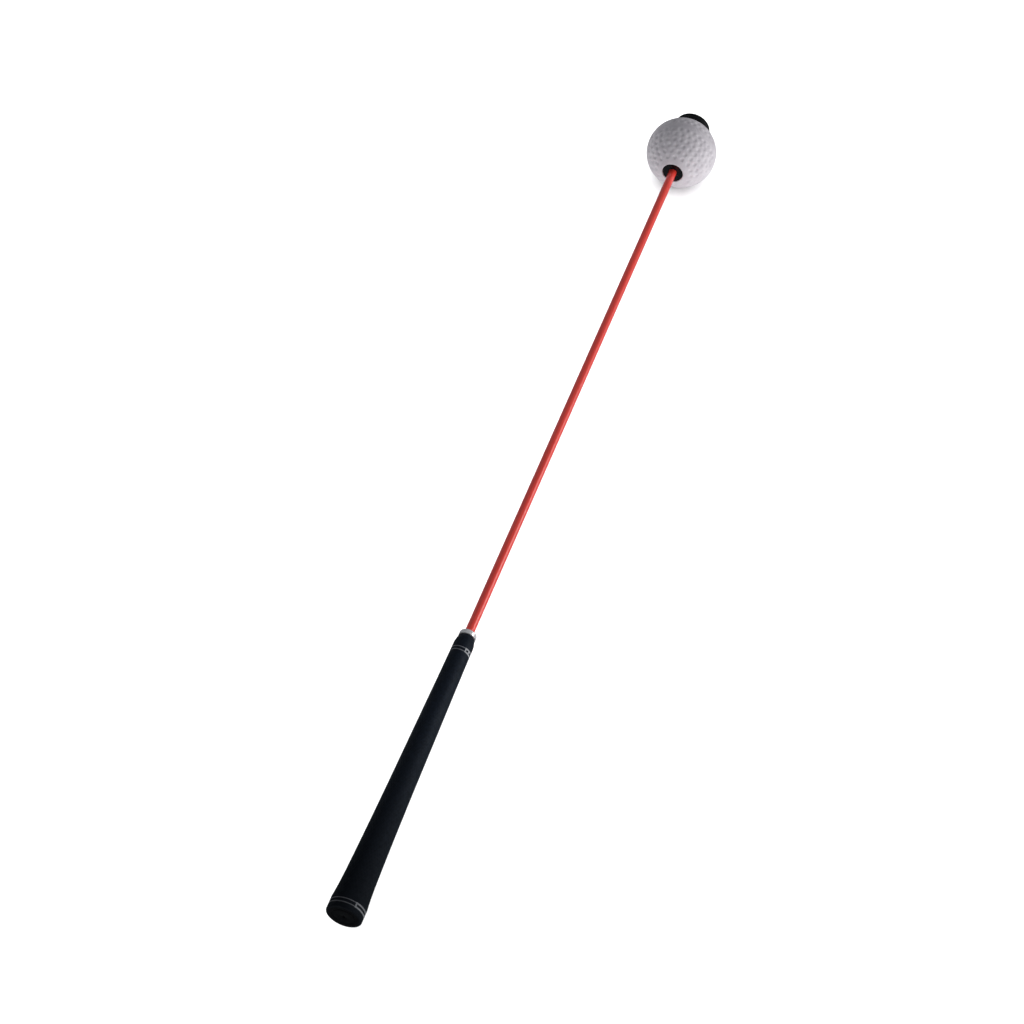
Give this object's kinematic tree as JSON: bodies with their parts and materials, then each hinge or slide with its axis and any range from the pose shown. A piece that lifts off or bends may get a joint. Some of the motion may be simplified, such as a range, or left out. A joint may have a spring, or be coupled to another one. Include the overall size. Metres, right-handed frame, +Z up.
{
  "type": "swing trainer stick",
  "caption": "Golf swing trainer: slim red rod with a long flared black rubber grip, and a dimpled foam ball that slides and spins on the rod against a black bumper.",
  "frame": {"origin": "centre of the butt's flat end face, on the stick's axis", "axes": "+Y along the stick's axis from the butt to the bumper at the tip, +Z up with the stick lying level, +X to the right seen from the butt"},
  "size_m": [0.0694, 0.96, 0.0694],
  "materials": {
    "grip_rubber": "matte",
    "cap_rubber": "satin",
    "line_paint": "matte",
    "tape": "matte",
    "tube_steel": "satin",
    "bright_steel": "polished",
    "screw_steel": "satin",
    "brass": "satin",
    "rod_red": "gloss",
    "inner_plastic": "matte",
    "bumper_rubber": "satin",
    "plug_plastic": "satin",
    "ball_foam": "matte",
    "bush_plastic": "satin",
    "liner_nylon": "satin",
    "magnet": "polished"
  },
  "bodies": {
    "stick": {"grip_sleeve": "grip_rubber", "grip_end_cap": "cap_rubber", "grip_tape": "tape", "handle_tube": "tube_steel", "tube_end_plug": "inner_plastic", "rod_socket_bush": "inner_plastic", "mouth_ferrule": "bright_steel", "rod": "rod_red", "rod_tip_insert": "brass", "bumper": "bumper_rubber", "bumper_washer": "screw_steel", "bumper_screw": "screw_steel", "bumper_plug": "plug_plastic"},
    "carriage": {"slide_liner": "liner_nylon"},
    "ball": {"ball_shell": "ball_foam", "core_tube": "inner_plastic", "lower_guide_bush": "bush_plastic", "upper_guide_bush": "bush_plastic", "ring_magnet": "magnet", "magnet_pole_washer": "screw_steel"}
  },
  "joints": [
    {"name": "ball_slide", "type": "slide", "parent": "stick", "child": "carriage", "axis": [0, -1, 0], "range_m": [0, 0.608]},
    {"name": "ball_spin", "type": "hinge", "parent": "carriage", "child": "ball", "pos_m": [0, 0.9174, 0], "axis": [0, 1, 0], "continuous": true}
  ]
}
